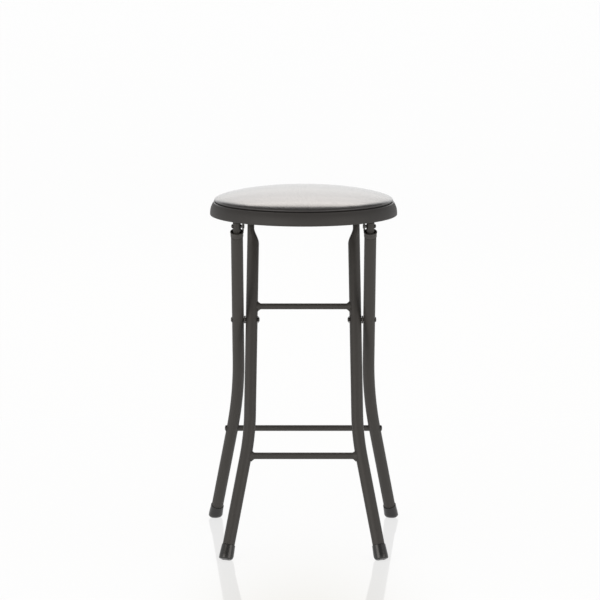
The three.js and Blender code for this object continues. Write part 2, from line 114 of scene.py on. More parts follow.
def arcPoints(centreRadius, centreHeight, out, up, start, end, steps=8):
    # radius and height pairs along an ellipse's arc
    points = []
    for i in range(steps + 1):
        angle = math.radians(start + (end - start) * i / steps)
        points.append((centreRadius + out * math.cos(angle), centreHeight + up * math.sin(angle)))
    return points


def ringProfile(inner, outer, low, high, edge):
    # a washer or bush with broken edges
    return [
        (outer, low + edge), (outer, high - edge), (outer - edge, high), (inner + edge, high),
        (inner, high - edge), (inner, low + edge), (inner + edge, low), (outer - edge, low),
        (outer, low + edge),
    ]


def turned(name, profile, around=32):
    # a circle drawn out ring by ring along +Z; poles and open ends are closed at the finish
    smallest = 0.05
    (radius, height), *rest = [(max(r, smallest), h) for r, h in profile]
    piece = begin(name, bpy.ops.mesh.primitive_circle_add, vertices=around, radius=radius * mm)
    shift(z=height)
    for nextRadius, nextHeight in rest:
        rise = (0, 0, (nextHeight - height) * mm)
        bpy.ops.mesh.extrude_region_move(TRANSFORM_OT_translate={"value": rise})
        grow = nextRadius / radius
        bpy.ops.transform.resize(value=(grow, grow, 1), center_override=(0, 0, nextHeight * mm))
        radius, height = nextRadius, nextHeight
    bpy.ops.mesh.select_all(action="SELECT")
    bpy.ops.mesh.remove_doubles(threshold=mergeGap)
    bpy.ops.mesh.fill_holes(sides=0)
    close()
    return piece


def lay(piece, place):
    # moves the piece and leaves its place in its mesh
    piece.matrix_world = place
    choose(piece)
    bpy.ops.object.transform_apply(location=True, rotation=True, scale=True)
    return piece


def copied(piece, name):
    twin = piece.copy()
    twin.data = piece.data.copy()
    twin.name = name
    bpy.context.scene.collection.objects.link(twin)
    return twin


def mirrored(piece, name):
    # the same piece on the stool's other side, with its faces turned back outward
    twin = copied(piece, name)
    twin.scale.x = -1
    choose(twin)
    bpy.ops.object.transform_apply(location=True, rotation=True, scale=True)
    enter("EDIT")
    bpy.ops.mesh.select_all(action="SELECT")
    bpy.ops.mesh.flip_normals()
    enter("OBJECT")
    return twin


def applied(piece, kind, **settings):
    # adds a modifier with its settings and applies it
    choose(piece)
    modifier = piece.modifiers.new(kind.title(), kind)
    for key, value in settings.items():
        setattr(modifier, key, value)
    bpy.ops.object.modifier_apply(modifier=modifier.name)


def smooth(piece, angle=smoothTurn):
    choose(piece)
    bpy.ops.object.shade_smooth_by_angle(angle=angle)


def discard(piece):
    bpy.data.objects.remove(piece)


def dress(piece, node, finish, standsFor=True):
    # the piece moves with the node's body, wears the finish and shows in the node's place
    smooth(piece)
    piece.data.materials.clear()
    piece.data.materials.append(finishes[finish])
    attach(piece, bodyOf[node])
    if standsFor:
        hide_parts(node)


def dressPair(piece, name, node, finish, standsFor=True):
    # the piece as made goes on the right, and its mirror image on the left
    twin = mirrored(piece, f"{name}-left")
    piece.name = f"{name}-right"
    dress(piece, f"{node}_right", finish, standsFor)
    dress(twin, f"{node}_left", finish, standsFor)


def turnedPairs(place, around, *parts):
    # turned pieces laid in one place on the right, and their mirror images on the left; a part
    # gives its name, its node, its finish and its profile
    pieces = [turned(name, profile, around) for name, _, _, profile in parts]
    for piece, (name, node, finish, _) in zip(pieces, parts):
        dressPair(lay(piece, place), name, node, finish)


# Material helpers

def linearColour(hexCode):
    # sRGB hex to the linear colour that the shader takes
    channels = [int(hexCode[i:i + 2], 16) / 255 for i in (0, 2, 4)]
    linear = [c / 12.92 if c <= 0.04045 else ((c + 0.055) / 1.055) ** 2.4 for c in channels]
    return (*linear, 1)


def addNode(tree, kind, settings=None, links=None):
    # settings go to the node's sockets by name or number, or else to the node itself; a link
    # comes from a socket, or from a node's first output
    node = tree.nodes.new("ShaderNode" + kind)
    for key, value in (settings or {}).items():
        if isinstance(key, int) or key in node.inputs:
            node.inputs[key].default_value = value
        else:
            setattr(node, key, value)
    for key, source in (links or {}).items():
        tree.links.new(getattr(source, "outputs", [source])[0], node.inputs[key])
    return node


def emptyTree(owner):
    owner.use_nodes = True
    owner.node_tree.nodes.clear()
    return owner.node_tree


def perMetre(size):
    # a texture's scale for features of this size in millimetres
    return 1 / (size * mm)


def startMaterial(name, look, settings):
    # a material with its shader and the piece's own coordinates
    material = bpy.data.materials.new(name)
    material.use_nodes = True
    tree = material.node_tree
    shader = tree.nodes["Principled BSDF"]
    shader.inputs["Roughness"].default_value = look["roughness"]
    for key, value in settings.items():
        shader.inputs[key].default_value = value
    coordinates = addNode(tree, "TexCoord").outputs["Object"]
    return material, tree, shader, coordinates


# Camera, at the photograph's angle

camera = {"place": (-6, -5000, 1219), "pitch": 80.8, "lens": 181.38, "sensor": 36,
          "clip": 100}

startFresh()
bpy.ops.object.camera_add(
    location=[value * mm for value in camera["place"]],
    rotation=(math.radians(camera["pitch"]), 0, 0),
)
bpy.context.scene.camera = bpy.context.object
bpy.context.object.data.lens = camera["lens"]
bpy.context.object.data.sensor_width = camera["sensor"]
bpy.context.object.data.clip_end = camera["clip"]
bpy.context.scene.view_settings.view_transform = "Standard"
print("camera placed")


# Studio: white surroundings, a pale glossy floor and large soft lamps

studio = {
    "room": 0.74,    # strength of the surroundings that light the stool
    "ceiling": 0.15,  # and of what gloss shows of the ceiling
    "ceilingLean": (0, -0.15, 1),  # it comes down lower on the camera's side
    "ceilingFrom": 0.424,
    "ceilingTo": 0.71,
    "backdropHalf": 0.28,  # half width of the lit backdrop, for each unit of distance
    "backdropEdge": (-0.02, 0.08),  # where gloss sees it end
    "backdropBegins": 0.3,
    "besideDrop": 0.35,  # how much lower the ceiling comes on either side of it
    "floorSize": 80,     # metres
    "floorDrop": 0.05,
    "floorColour": "faf9f6",
    "floorGlow": 0.9,     # share of plain white that the camera and gloss see in it
    "floorPolish": 1.17,  # index of refraction, low enough to mirror only at a low angle
    "floorHaze": 0.06,
    "paintedShadowPlace": (0, -0.75, 0),  # a faint warm-grey painted shadow on the floor in front of the stool, in metres
    "paintedShadowSize": (0.3, 0.9, 1),
    "paintedShadowColour": "e4e1d6",
    "lampColour": "fff7f0",
    "lampAim": (0, 0, 0.35),
}
lamps = {  # places and sizes in metres
    "keySoftbox": {"place": (-2.2, -2.6, 1.05), "size": (2.2, 1.9), "watts": 30},
    "fillSoftbox": {"place": (2.6, -2.4, 1.0), "size": (2.2, 1.8), "watts": 20},
    "backdropLow": {"place": (0, 3.0, 1.44), "size": (1.7, 0.74), "watts": 1.3},
    "backdropMiddle": {"place": (0, 3.0, 2.14), "size": (1.7, 0.66), "watts": 2.95},
    "backdropHigh": {"place": (0, 3.0, 2.89), "size": (1.7, 0.83), "watts": 8},
}


def makeWorld():
    bpy.context.scene.world = bpy.data.worlds.new("White studio")
    tree = emptyTree(bpy.context.scene.world)
    rays = addNode(tree, "LightPath").outputs
    shiny = addNode(tree, "Math", {"operation": "MAXIMUM"},
                    {0: rays["Is Glossy Ray"], 1: rays["Is Transmission Ray"]})
    seen = addNode(tree, "Math", {"operation": "MAXIMUM"},
                   {0: rays["Is Camera Ray"], 1: shiny})
    room = addNode(tree, "Background", {"Color": (1, 1, 1, 1), "Strength": studio["room"]})
    towards = addNode(tree, "TexCoord").outputs["Generated"]
    height = addNode(tree, "VectorMath", {"operation": "DOT_PRODUCT", 1: studio["ceilingLean"]},
                     {0: towards})
    parts = addNode(tree, "SeparateXYZ", {}, {"Vector": towards}).outputs
    aside = addNode(tree, "Math", {"operation": "ABSOLUTE"}, {0: parts["X"]})
    beyond = addNode(tree, "Math", {"operation": "MULTIPLY_ADD", 1: -studio["backdropHalf"]},
                     {0: parts["Y"], 2: aside})
    beside = addNode(tree, "MapRange", {
        "From Min": studio["backdropEdge"][0], "From Max": studio["backdropEdge"][1],
        "To Max": studio["besideDrop"]}, {"Value": beyond})
    behind = addNode(tree, "MapRange", {"From Max": studio["backdropBegins"]},
                     {"Value": parts["Y"]})
    lowered = addNode(tree, "Math", {"operation": "MULTIPLY_ADD"},
                      {0: beside, 1: behind, 2: height.outputs["Value"]})
    ceiling = addNode(tree, "MapRange", {  # gloss shows white round the stool and less overhead
        "From Min": studio["ceilingFrom"], "From Max": studio["ceilingTo"],
        "To Min": 1, "To Max": studio["ceiling"]}, {"Value": lowered})
    white = addNode(tree, "Math", {"operation": "MAXIMUM"},
                    {0: ceiling, 1: rays["Is Camera Ray"]})
    backdrop = addNode(tree, "Background", {"Color": (1, 1, 1, 1)}, {"Strength": white})
    mix = addNode(tree, "MixShader", {}, {0: seen, 1: room, 2: backdrop})
    addNode(tree, "OutputWorld", {}, {"Surface": mix})


def makeFloor():
    startFresh()
    bpy.ops.mesh.primitive_plane_add(size=studio["floorSize"],
                                     location=(0, 0, -studio["floorDrop"] * mm))
    floor = bpy.context.object
    floor.name = "studioFloor"
    material = bpy.data.materials.new("Gloss white floor")
    tree = emptyTree(material)
    rays = addNode(tree, "LightPath").outputs
    matt = addNode(tree, "BsdfDiffuse", {"Color": linearColour(studio["floorColour"])})
    place = addNode(tree, "TexCoord").outputs["Object"]
    # a painted shadow, warm grey, darkens the floor's white in a patch in front of the stool
    paintedShadowSpot = addNode(tree, "Mapping", {"vector_type": "TEXTURE", "Location": studio["paintedShadowPlace"],
                                     "Scale": studio["paintedShadowSize"]}, {"Vector": place})
    fade = addNode(tree, "TexGradient", {"gradient_type": "QUADRATIC_SPHERE"},
                   {"Vector": paintedShadowSpot})
    whiteWithPaintedShadow = addNode(tree, "MixRGB", {"Color1": (1, 1, 1, 1),
                                    "Color2": linearColour(studio["paintedShadowColour"])},
                   {"Fac": fade.outputs["Fac"]})
    glow = addNode(tree, "Emission", {"Strength": 1}, {"Color": whiteWithPaintedShadow})
    seen = addNode(tree, "Math", {"operation": "MAXIMUM"},
                   {0: rays["Is Camera Ray"], 1: rays["Is Glossy Ray"]})
    share = addNode(tree, "Math", {"operation": "MULTIPLY", 1: studio["floorGlow"]},
                    {0: seen})
    lit = addNode(tree, "MixShader", {}, {0: share, 1: matt, 2: glow})
    gloss = addNode(tree, "BsdfAnisotropic", {"Color": (1, 1, 1, 1),
                                              "Roughness": studio["floorHaze"]})
    mirror = addNode(tree, "Fresnel", {"IOR": studio["floorPolish"]})
    polished = addNode(tree, "MixShader", {}, {0: mirror, 1: lit, 2: gloss})
    clear = addNode(tree, "BsdfTransparent")
    below = addNode(tree, "NewGeometry").outputs["Backfacing"]  # seen from below it isn't there
    whole = addNode(tree, "MixShader", {}, {0: below, 1: polished, 2: clear})
    addNode(tree, "OutputMaterial", {}, {"Surface": whole})
    floor.data.materials.append(material)


def makeLamps():
    target = Vector(studio["lampAim"])
    for name, lamp in lamps.items():
        startFresh()
        aim = (target - Vector(lamp["place"])).to_track_quat("-Z", "Y").to_euler()
        bpy.ops.object.light_add(type="AREA", location=lamp["place"], rotation=aim)
        light = bpy.context.object
        light.name = name
        light.data.shape = "RECTANGLE"
        light.data.size, light.data.size_y = lamp["size"]
        light.data.energy = lamp["watts"]
        light.data.color = linearColour(studio["lampColour"])[:3]
        light.visible_camera = False


makeWorld()
makeFloor()
makeLamps()
print("studio ready")


# Finishes

# In these dictionaries, uneven is how much glossier and duller than its roughness a finish
# gets in places, bump how strongly its relief shows and relief how deep that is.

coat = {"colour": "353330", "mottle": "3b3835", "cloud": 28, "cloudDetail": 3, "fine": 1.1,
        "roughness": 0.55, "uneven": (-0.06, 0.06), "bump": 0.25, "relief": 0.05}
zinc = {"colour": "4a4846", "mottle": "3a3836", "cloud": 5, "cloudDetail": 5, "fine": 0.5,
        "roughness": 0.36, "uneven": (-0.08, 0.1), "bump": 0.2, "relief": 0.02}
rubber = {"colour": "1b1b1a", "mottle": "242322", "cloud": 9, "cloudDetail": 4, "fine": 1.6,
          "roughness": 0.21, "uneven": (-0.06, 0.1), "bump": 0.06, "relief": 0.03}
nylon = {"colour": "383532", "grain": 0.7, "roughness": 0.5, "uneven": (-0.07, 0.07),
         "bump": 0.3, "relief": 0.03}
polypropylene = {"colour": "2d2b29", "mottle": "302d2b", "flow": 60, "swirl": 0.6, "spark": 0.9,
                 "roughness": 0.58, "uneven": (-0.05, 0.08), "bump": 0.25, "relief": 0.04,
                 "rubbedFrom": 574.9, "rubbedTo": 575.7, "rubbed": -0.36}
ply = {"colour": "c49a68", "mottle": "a87d4e", "ringWidth": 5, "stretch": 0.08, "veneer": 1.5,
       "lineShare": 0.25, "roughness": 0.7, "bump": 0.4, "relief": 0.05}
# the foam's colour is painted shade in the middle of each cell's pit, and the mottle is the foam
# between the pits
foam = {"colour": "c9b67c", "mottle": "e7d9a6", "cell": 1.2, "roughness": 0.95, "bump": 0.8,
        "relief": 0.4}
vinyl = {"colour": "2c2a29", "mottle": "343130", "cloud": 22, "grain": 1.3, "pebble": 0.4,
         "roughness": 0.26, "uneven": (-0.05, 0.1), "bump": 0.18, "relief": 0.06,
         "lacquer": 0.17, "lacquerLeft": 0.1, "rubbedFrom": 580.6, "rubbedTo": 579,
         "rubbed": 0.25}


def surface(tree, shader, look, drift, relief, sheen=None):
    # the colour drifts between two shades, the relief catches the light and the gloss is uneven
    bump = addNode(tree, "Bump", {"Strength": look["bump"], "Distance": look["relief"] * mm},
                   {"Height": relief})
    tree.links.new(bump.outputs["Normal"], shader.inputs["Normal"])
    if drift:
        colour = addNode(tree, "MixRGB", {"Color1": linearColour(look["colour"]),
                                          "Color2": linearColour(look["mottle"])}, {"Fac": drift})
        tree.links.new(colour.outputs["Color"], shader.inputs["Base Color"])
    if sheen:
        least, most = (look["roughness"] + change for change in look["uneven"])
        gloss = addNode(tree, "MapRange", {"To Min": least, "To Max": most}, {"Value": sheen})
        tree.links.new(gloss.outputs["Result"], shader.inputs["Roughness"])
    return bump


def rub(tree, shader, place, look):
    # the gloss changes towards one height; gives the share of the change at each point
    height = addNode(tree, "SeparateXYZ", {}, {"Vector": place})
    share = addNode(tree, "MapRange", {"From Min": look["rubbedFrom"] * mm,
                                       "From Max": look["rubbedTo"] * mm},
                    {"Value": height.outputs["Z"]})
    worn = addNode(tree, "Math", {"operation": "MULTIPLY_ADD", 1: look["rubbed"]},
                   {0: share, 2: shader.inputs["Roughness"].links[0].from_socket})
    tree.links.new(worn.outputs[0], shader.inputs["Roughness"])
    return share


def makeClouded(name, look, settings):
    # clouds of colour and gloss, with a fine relief over them
    material, tree, shader, place = startMaterial(name, look, settings)
    clouds, fine = (
        addNode(tree, "TexNoise", {"Scale": perMetre(look[size]), "Detail": detail},
                {"Vector": place})
        for size, detail in (("cloud", look["cloudDetail"]), ("fine", 2)))
    surface(tree, shader, look, clouds, fine, clouds)
    return material


def makePowderCoat():
    # Polyester powder coat, sprayed and baked on steel tube: satin, with a fine orange peel
    # that breaks up the highlights. The peel is drawn about twice as coarse as it is.
    return makeClouded("Satin polyester powder coat, baked", coat, {"IOR": 1.45})


def makeBlackZinc():
    # Zinc-plated steel, black passivated, stamped or headed: dark metal with a cloudy sheen
    return makeClouded("Black passivated zinc plate, stamped", zinc, {"Metallic": 0.85})


def makeRubber():
    # Styrene-butadiene rubber, compression moulded: nearly polished, with a greyish bloom
    return makeClouded("Black rubber, compression moulded", rubber, {"IOR": 1.52})


def makeNylon():
    # Nylon, injection moulded: a matt face with the mould's fine spark grain
    material, tree, shader, place = startMaterial("Black nylon, injection moulded", nylon, {
        "IOR": 1.53, "Base Color": linearColour(nylon["colour"])})
    grain = addNode(tree, "TexNoise", {"Scale": perMetre(nylon["grain"]), "Detail": 4},
                    {"Vector": place})
    surface(tree, shader, nylon, None, grain, grain)
    return material


def makePanPlastic():
    # Polypropylene, injection moulded in a spark-eroded tool: an even satin face, with faint
    # lighter clouds where the melt flowed, and the top of the rim rubbed glossy
    material, tree, shader, place = startMaterial(
        "Black polypropylene, spark-grain moulded", polypropylene, {"IOR": 1.49})
    flow = addNode(tree, "TexNoise", {"Scale": perMetre(polypropylene["flow"]), "Detail": 2,
                                      "Distortion": polypropylene["swirl"]}, {"Vector": place})
    spark = addNode(tree, "TexVoronoi", {"Scale": perMetre(polypropylene["spark"])},
                    {"Vector": place})
    surface(tree, shader, polypropylene, flow, spark, spark)
    rub(tree, shader, place, polypropylene)
    return material


def makePlywood():
    # Poplar plywood, rotary cut and glued: long grain on the faces, veneer lines on the edge
    material, tree, shader, place = startMaterial("Poplar plywood, rotary cut", ply, {"IOR": 1.5})
    along = addNode(tree, "Mapping", {"Scale": (ply["stretch"], 1, 1)}, {"Vector": place})
    grain = addNode(tree, "TexNoise", {"Scale": perMetre(ply["ringWidth"]), "Detail": 6},
                    {"Vector": along})
    height = addNode(tree, "SeparateXYZ", {}, {"Vector": place})
    plies = addNode(tree, "Math", {"operation": "MULTIPLY", 1: math.pi * perMetre(ply["veneer"])},
                    {0: height.outputs["Z"]})
    lines = addNode(tree, "Math", {"operation": "SINE"}, {0: plies})
    both = addNode(tree, "Math", {"operation": "MULTIPLY_ADD", 1: ply["lineShare"]},
                   {0: lines, 2: grain})
    surface(tree, shader, ply, both, both)
    return material


def makeFoam():
    # Polyurethane foam, slab cut: open cells that show as pits, each pit darker in its middle as
    # painted shade
    material, tree, shader, place = startMaterial("Polyurethane foam, slab cut", foam, {
        "IOR": 1.4})
    pitsAndPaintedShade = addNode(tree, "TexVoronoi", {"Scale": perMetre(foam["cell"])},
                    {"Vector": place})
    surface(tree, shader, foam, pitsAndPaintedShade, pitsAndPaintedShade)
    return material


def makeVinyl():
    # PVC leathercloth, calendered, embossed and lacquered: a fine pebble grain under a soft
    # top gloss, so it looks nearly white where it is seen at a low angle. The lacquer is
    # rubbed dull where the edge turns under.
    material, tree, shader, place = startMaterial(
        "PVC leathercloth, embossed and lacquered", vinyl,
        {"IOR": 1.5, "Coat IOR": 1.5, "Coat Roughness": vinyl["lacquer"]})
    clouds = addNode(tree, "TexNoise", {"Scale": perMetre(vinyl["cloud"]), "Detail": 3},
                     {"Vector": place})
    pebbles = addNode(tree, "TexVoronoi", {
        "Scale": perMetre(vinyl["grain"]), "feature": "SMOOTH_F1", "Smoothness": vinyl["pebble"]},
        {"Vector": place})
    bump = surface(tree, shader, vinyl, clouds, pebbles, pebbles)
    bump.invert = True
    tree.links.new(bump.outputs["Normal"], shader.inputs["Coat Normal"])
    rubbed = rub(tree, shader, place, vinyl)
    lacquer = addNode(tree, "MapRange", {"To Min": 1, "To Max": vinyl["lacquerLeft"]},
                      {"Value": rubbed})
    tree.links.new(lacquer.outputs["Result"], shader.inputs["Coat Weight"])
    return material


finishes = {
    "frame_enamel": makePowderCoat(), "dark_hardware": makeBlackZinc(),
    "collar_plastic": makeNylon(), "pan_plastic": makePanPlastic(), "foot_rubber": makeRubber(),
    "plywood": makePlywood(), "seat_foam": makeFoam(), "seat_vinyl": makeVinyl(),
}
hidden = {
    "rod_guide_left": "collar_plastic", "rod_guide_right": "collar_plastic",
    "seat_board": "plywood",
}
for node, finish in hidden.items():  # CAD nodes that stay, out of sight inside other pieces
    frame["nodes"][node].data.materials.clear()
    frame["nodes"][node].data.materials.append(finishes[finish])
print("finishes mixed")


# Where the leg frames stand

stance = {"pivotHeight": 376, "tilt": 22.4, "hingeReach": 181, "footLift": 1}
tilt = math.radians(stance["tilt"])
pivotPlace = Matrix.Translation((0, 0, stance["pivotHeight"] * mm))
innerFrame = pivotPlace @ Matrix.Rotation(-tilt, 4, "X")
outerFrame = pivotPlace @ Matrix.Rotation(tilt, 4, "X")
acrossX = Matrix.Rotation(math.radians(90), 4, "Y")  # turns a piece made along +Z to lie along +X


def at(x=0, y=0, z=0):
    return Matrix.Translation((x * mm, y * mm, z * mm))


# Legs: round tube, bent in its frame's plane

tube = {"radius": 10, "wall": 1.2, "around": 40, "bendSteps": 14}
outerLeg = {"half": 110, "splay": 0, "flare": 9.8, "bendStart": 80, "bendRadius": 820, "top": 160.5}
innerLeg = {"half": 87, "splay": 0.8, "flare": 10.5, "bendStart": 161, "bendRadius": 435}
pressed = {"thickness": 11.5, "length": 23, "taper": 26, "steps": 8}
legFoot = {"height": 25, "floor": 5, "fit": 0.3}
pressed["flat"] = math.pi / 2 * (tube["radius"] - pressed["thickness"] / 2)
pressed["round"] = pressed["thickness"] / 2 + pressed["flat"]


def legPlace(leg, drop):
    # sideways place and lean of the centre line at a drop below the pivot
    splay, flare = math.radians(leg["splay"]), math.radians(leg["flare"])
    bend = leg["bendRadius"] * (math.sin(flare) - math.sin(splay))
    bent = min(max(drop - leg["bendStart"], 0), bend)
    flared = max(drop - leg["bendStart"] - bend, 0)
    lean = math.asin(math.sin(splay) + bent / leg["bendRadius"])
    across = leg["half"] + min(drop, leg["bendStart"]) * math.tan(splay)
    across += leg["bendRadius"] * (math.cos(splay) - math.cos(lean)) + flared * math.tan(flare)
    return across, lean


def footDrop():
    return (stance["pivotHeight"] - stance["footLift"]) / math.cos(tilt)


def legDrops(leg, tops):
    splay, flare = math.radians(leg["splay"]), math.radians(leg["flare"])
    bend = leg["bendRadius"] * (math.sin(flare) - math.sin(splay))
    bends = [leg["bendStart"] + bend * i / tube["bendSteps"] for i in range(tube["bendSteps"] + 1)]
    end = footDrop() - (legFoot["floor"] + legFoot["fit"]) * math.cos(flare)
    return [*tops, *bends, end]


def bentTube(name, leg, drops):
    # a circle drawn down the leg ring by ring, turned a little at each ring of the bend
    piece = begin(name, bpy.ops.mesh.primitive_circle_add, vertices=tube["around"],
                  radius=tube["radius"] * mm)
    across, lean = legPlace(leg, drops[0])
    drop = drops[0]
    centre = Vector((across, 0, -drop)) * mm
    bpy.ops.transform.translate(value=centre)
    bpy.ops.transform.rotate(value=lean, orient_axis="Y", center_override=centre)
    for nextDrop in drops[1:]:
        nextAcross, nextLean = legPlace(leg, nextDrop)
        step = Vector((nextAcross - across, 0, drop - nextDrop)) * mm
        bpy.ops.mesh.extrude_region_move(TRANSFORM_OT_translate={"value": step})
        centre = Vector((nextAcross, 0, -nextDrop)) * mm
        bpy.ops.transform.rotate(value=nextLean - lean, orient_axis="Y", center_override=centre)
        across, lean, drop = nextAcross, nextLean, nextDrop
    close()
    return piece


def pressTop(leg, tops):
    # squeezes the rings near the top to a flat oval of the same girth, flush on its outer side
    fullReach = stance["hingeReach"] - pressed["length"]
    thinner = tube["radius"] - pressed["thickness"] / 2
    enter("EDIT")
    for drop in tops:
        across, lean = legPlace(leg, drop)
        share = min(max((-drop - fullReach + pressed["taper"]) / pressed["taper"], 0), 1)
        amount = share * share * (3 - 2 * share)  # eased in and out
        near = lambda co: abs(co.z + drop - (co.x - across) * math.sin(lean)) < ringGap
        pick(near)
        shrink = 1 - thinner * amount / tube["radius"]
        centre = Vector((across, 0, -drop)) * mm
        bpy.ops.transform.resize(value=(shrink, shrink, 1), center_override=centre)
        shift(x=thinner * amount)
        for side in sides.values():
            pick(lambda co: near(co) and co.y * side > sameGap)
            shift(y=side * pressed["flat"] * amount)
    enter("OBJECT")


def roundTop(piece):
    # lets the open end follow a circle about the hinge
    top = -stance["hingeReach"] - pressed["round"]
    enter("EDIT")
    heights = sorted({round(abs(vertex.co.y) / mm, 3) for vertex in piece.data.vertices})
    for y in heights:
        fall = pressed["round"] - math.sqrt(max(pressed["round"] ** 2 - y * y, 0))
        pick(lambda co: co.z > -top - ringGap and abs(abs(co.y) - y) < sameGap)
        shift(z=-fall)
    enter("OBJECT")


def makeLegs():
    outer = bentTube("outerLegTube", outerLeg, legDrops(outerLeg, [-outerLeg["top"]]))
    reach, full = stance["hingeReach"], stance["hingeReach"] - pressed["length"]
    tops = [-reach - pressed["round"], -reach, -full]
    tops += [-full + pressed["taper"] * (i + 1) / pressed["steps"] for i in range(pressed["steps"])]
    inner = bentTube("innerLegTube", innerLeg, legDrops(innerLeg, tops))
    pressTop(innerLeg, tops)
    roundTop(inner)
    for piece, place, node in ((outer, outerFrame, "outer_leg"), (inner, innerFrame, "inner_leg")):
        applied(piece, "SOLIDIFY", thickness=tube["wall"] * mm, offset=-1)
        lay(piece, place)
        dressPair(piece, piece.name, node, "frame_enamel")


makeLegs()
print("legs bent")


# Feet: moulded cups over the tube ends

footCup = {"lip": 11.2, "base": 12, "round": 2.6, "rim": 0.9, "grooves": (4, 7), "groove": 0.7,
           "around": 48, "worn": 4.5, "wornHeight": 6, "wornSteps": 6, "boreGap": 0.5}


def makeFoot(name, node, leg, place):
    lip, base, curve, rim = (footCup[key] for key in ("lip", "base", "round", "rim"))
    bore, height, floor = tube["radius"] + legFoot["fit"], legFoot["height"], legFoot["floor"]
    tread = []
    for radius in footCup["grooves"]:  # two rings moulded into the sole
        wide = footCup["groove"]
        tread += [(radius - wide, 0), (radius - wide, wide),
                  (radius + wide, wide), (radius + wide, 0)]
    sole = arcPoints(base - curve, curve, curve, curve, -90, 0)
    bead = arcPoints(lip - rim / 2, height - rim / 2, rim / 2, rim / 2, 0, 90, steps=4)
    profile = [(0, 0), *tread, *sole, (base, height / 3), (lip, height - rim * 2), *bead,
               (bore, height), (bore, floor), (0, floor)]
    piece = turned(name, profile, footCup["around"])
    across, lean = legPlace(leg, footDrop())
    stand = place @ at(across, 0, -footDrop()) @ Matrix.Rotation(-lean, 4, "Y")
    lay(piece, stand)
    enter("EDIT")
    bpy.ops.mesh.select_all(action="SELECT")
    bpy.ops.mesh.bisect(plane_co=(0, 0, 0), plane_no=(0, 0, 1), use_fill=True,
                        clear_inner=True, threshold=mergeGap)
    for step in range(1, footCup["wornSteps"] + 1):
        height = footCup["wornHeight"] * step / footCup["wornSteps"]
        bpy.ops.mesh.select_all(action="SELECT")
        bpy.ops.mesh.bisect(plane_co=(0, 0, height * mm), plane_no=(0, 0, 1),
                            threshold=mergeGap)
    enter("OBJECT")
    wearRound(piece, stand, bore + footCup["boreGap"])
    dressPair(piece, name, node, "foot_rubber")


def wearRound(piece, stand, bore):
    # the sole's edge is worn round, and the bore that holds the tube stays as it is
    axis, inverse = stand.col[2].to_3d(), stand.inverted()
    for vertex in piece.data.vertices:
        share = min(1 - vertex.co.z / (footCup["wornHeight"] * mm), 1)
        held = inverse @ vertex.co
        inBore = held.z > (legFoot["floor"] - ringGap) * mm and held.to_2d().length < bore * mm
        if share > 0 and not inBore:
            middle = stand.translation + axis * ((vertex.co.z - stand.translation.z) / axis.z)
            keep = 1 - footCup["worn"] / footCup["base"] * (1 - math.sqrt(1 - share * share))
            vertex.co.x = middle.x + (vertex.co.x - middle.x) * keep
            vertex.co.y = middle.y + (vertex.co.y - middle.y) * keep


makeFoot("frontFootCup", "front_foot", innerLeg, innerFrame)
makeFoot("rearFootCup", "rear_foot", outerLeg, outerFrame)
print("feet moulded")


# Crossbars, with a fillet of weld where they meet the inner legs

bars = {
    "upperBar": {"node": "upper_crossbar", "rise": 22.7, "radius": 5, "weld": 5},
    "footrestBar": {"node": "footrest_bar", "rise": -232, "radius": 5.5, "weld": 5},
    "rearBar": {"node": "rear_crossbar", "rise": -219.4, "radius": 5, "weld": 0},
}
weldBead = {"rise": 3.9, "hollow": 1.5, "slim": 0.45, "steps": 6, "bite": 3.5, "plainBite": 1.7,
            "around": 32}


def makeBar(name, bar, leg, place):
    across = legPlace(leg, -bar["rise"])[0]
    root = across - tube["radius"]
    if bar["weld"]:
        fillet = []
        for i in range(weldBead["steps"] + 1):
            share = i / weldBead["steps"]
            swell = weldBead["rise"] * share ** weldBead["hollow"]
            fillet.append((bar["radius"] + swell, root - bar["weld"] * (1 - share)))
        end = [*fillet, (fillet[-1][0], root + weldBead["bite"]), (0, root + weldBead["bite"])]
    else:
        bite = root + weldBead["plainBite"]
        end = [(bar["radius"], bite), (0, bite)]
    profile = [(radius, -x) for radius, x in reversed(end)] + end
    piece = turned(name, profile, weldBead["around"])
    for vertex in piece.data.vertices:  # front and back the bead is slimmer than the round tube
        reach = math.hypot(vertex.co.x, vertex.co.y) / mm
        if reach > bar["radius"] + sameGap:
            vertex.co.y *= (bar["radius"] + (reach - bar["radius"]) * weldBead["slim"]) / reach
    lay(piece, place @ at(z=bar["rise"]) @ acrossX)
    dress(piece, bar["node"], "frame_enamel")


for name, bar in bars.items():
    rear = name == "rearBar"
    makeBar(name, bar, outerLeg if rear else innerLeg, outerFrame if rear else innerFrame)
print("crossbars in")


# Rivets, screws, washers and bushes

crossRecess = {"width": 1, "depth": 1.6, "taper": (0.45, 0.7, 1)}
rivets = {"shank": 3, "head": 4.6, "headHeight": 1.8, "tail": 4.3, "tailHeight": 1.7, "around": 28}
pivotStack = {"gap": 0.3, "washer": 5.6, "washerThick": 1.1, "spacer": 6.5, "edge": 0.25}
hinge = {"shank": 2.8, "head": 3.6, "headHeight": 2.4, "tail": 4.2, "tailHeight": 1.8,
         "frontTail": 1, "washer": 6.5, "rearEar": 81.17, "frontEar": 101, "earThick": 2.5}


def rivetProfile(shank, low, high, head, headHeight, tail, tailHeight):
    dome = arcPoints(0, high, head, headHeight, 0, 90)
    foot = arcPoints(0, low, tail, tailHeight, -90, 0) if tail else [(0, low)]
    return [*foot, (shank, low), (shank, high), *dome]


